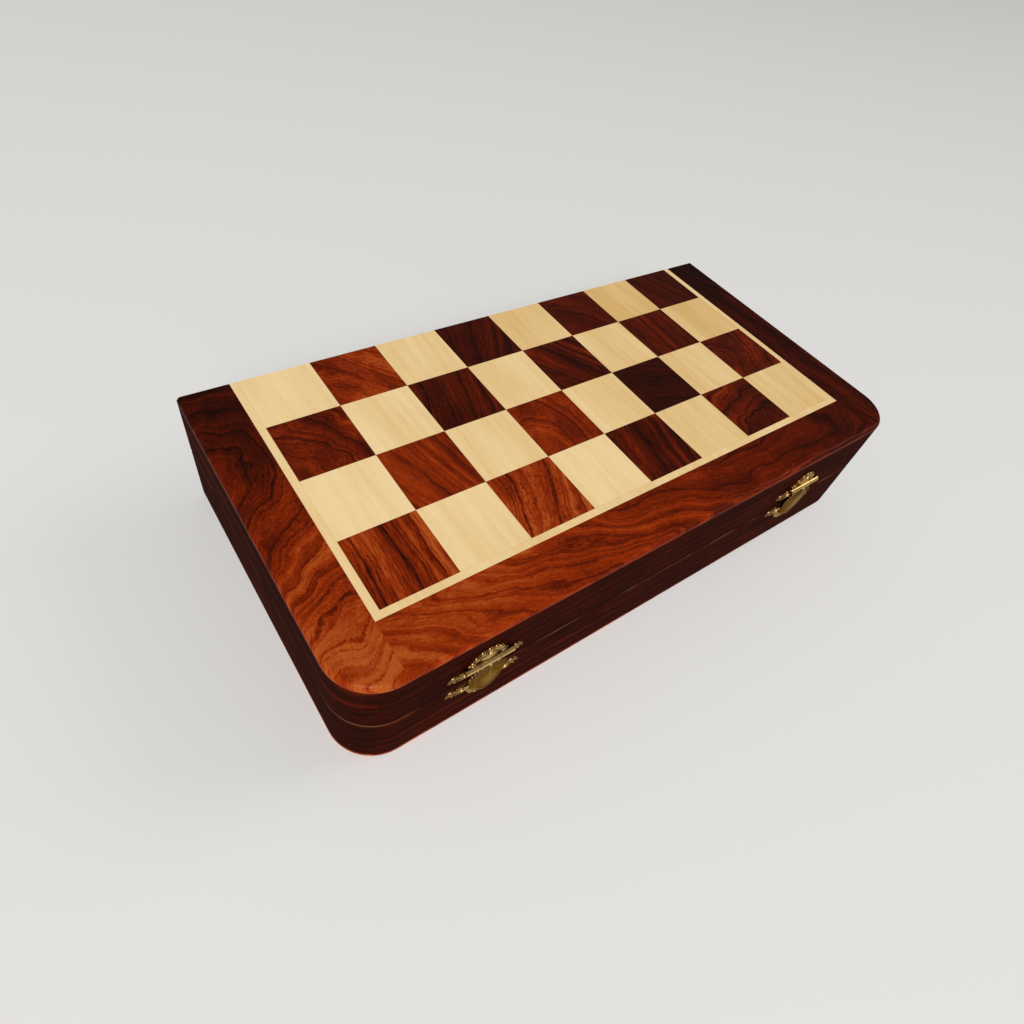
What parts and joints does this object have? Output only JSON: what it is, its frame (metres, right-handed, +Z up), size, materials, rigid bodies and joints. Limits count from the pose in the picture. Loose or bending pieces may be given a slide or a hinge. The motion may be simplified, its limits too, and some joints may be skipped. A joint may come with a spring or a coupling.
{
  "type": "folding chess set",
  "caption": "Folding chess set: two hinged shallow wooden trays inlaid outside as a chess board, with fitted inserts holding turned chessmen and ornate brass clasps.",
  "frame": {"origin": "centre of the closed box's bottom face (hinges and clasps left out)", "axes": "+X along the hinge line to the right, seen from the clasps; +Y from the clasps to the hinges; +Z up out of the closed lid"},
  "size_m": [0.3028, 0.1575, 0.0593],
  "materials": {
    "dark_border": "clear gloss lacquer over rosewood",
    "dark_square": "clear gloss lacquer over rosewood",
    "light_square": "clear gloss lacquer over boxwood",
    "inlay_strip": "clear gloss lacquer over boxwood",
    "rail": "satin lacquer over dark rosewood",
    "core": "bare plywood",
    "insert_felt": "flocked felt",
    "white_men": "polished boxwood",
    "black_men": "polished rosewood",
    "clasp_brass": "polished pressed brass",
    "hinge_brass": "polished brass",
    "pin_brass": "drawn brass wire",
    "fastener_brass": "brass plated"
  },
  "bodies": {
    "lower_half": {"lower_back_rail": "rail", "lower_border_front": "dark_border", "lower_border_left": "dark_border", "lower_border_right": "dark_border", "lower_core": "core", "lower_dark_squares": "dark_square", "lower_front_rail": "rail", "lower_inlay_strips": "inlay_strip", "lower_insert": "insert_felt", "lower_left_rail": "rail", "lower_light_squares": "light_square", "lower_right_rail": "rail", "white_bishops": "white_men", "white_king": "white_men", "white_knights": "white_men", "white_pawns": "white_men", "white_queen": "white_men", "white_rooks": "white_men", "hinge_screws_lower": "fastener_brass", "clasp_nails_lower": "fastener_brass", "left_hinge_lower_leaf": "hinge_brass", "right_hinge_lower_leaf": "hinge_brass", "left_hinge_pin": "pin_brass", "right_hinge_pin": "pin_brass", "left_clasp_keeper": "clasp_brass", "right_clasp_keeper": "clasp_brass"},
    "upper_half": {"black_bishops": "black_men", "black_king": "black_men", "black_knights": "black_men", "black_pawns": "black_men", "black_queen": "black_men", "black_rooks": "black_men", "upper_back_rail": "rail", "upper_border_front": "dark_border", "upper_border_left": "dark_border", "upper_border_right": "dark_border", "upper_core": "core", "upper_dark_squares": "dark_square", "upper_front_rail": "rail", "upper_inlay_strips": "inlay_strip", "upper_insert": "insert_felt", "upper_left_rail": "rail", "upper_light_squares": "light_square", "upper_right_rail": "rail", "hinge_screws_upper": "fastener_brass", "clasp_nails_upper": "fastener_brass", "left_hinge_upper_leaf": "hinge_brass", "right_hinge_upper_leaf": "hinge_brass", "left_clasp_plate": "clasp_brass", "right_clasp_plate": "clasp_brass", "left_hasp_pin": "pin_brass", "right_hasp_pin": "pin_brass"},
    "left_hasp_flap": {"left_hasp": "clasp_brass"},
    "right_hasp_flap": {"right_hasp": "clasp_brass"}
  },
  "joints": [
    {"name": "lid_hinge", "type": "hinge", "parent": "lower_half", "child": "upper_half", "pos_m": [0, 0.07612, 0.02965], "axis": [-1, 0, 0], "range_deg": [0, 180]},
    {"name": "left_hasp_swing", "type": "hinge", "parent": "upper_half", "child": "left_hasp_flap", "pos_m": [-0.0983, -0.07748, 0.04195], "axis": [-1, 0, 0], "range_deg": [0, 150]},
    {"name": "right_hasp_swing", "type": "hinge", "parent": "upper_half", "child": "right_hasp_flap", "pos_m": [0.0852, -0.07748, 0.04195], "axis": [-1, 0, 0], "range_deg": [0, 150]}
  ]
}
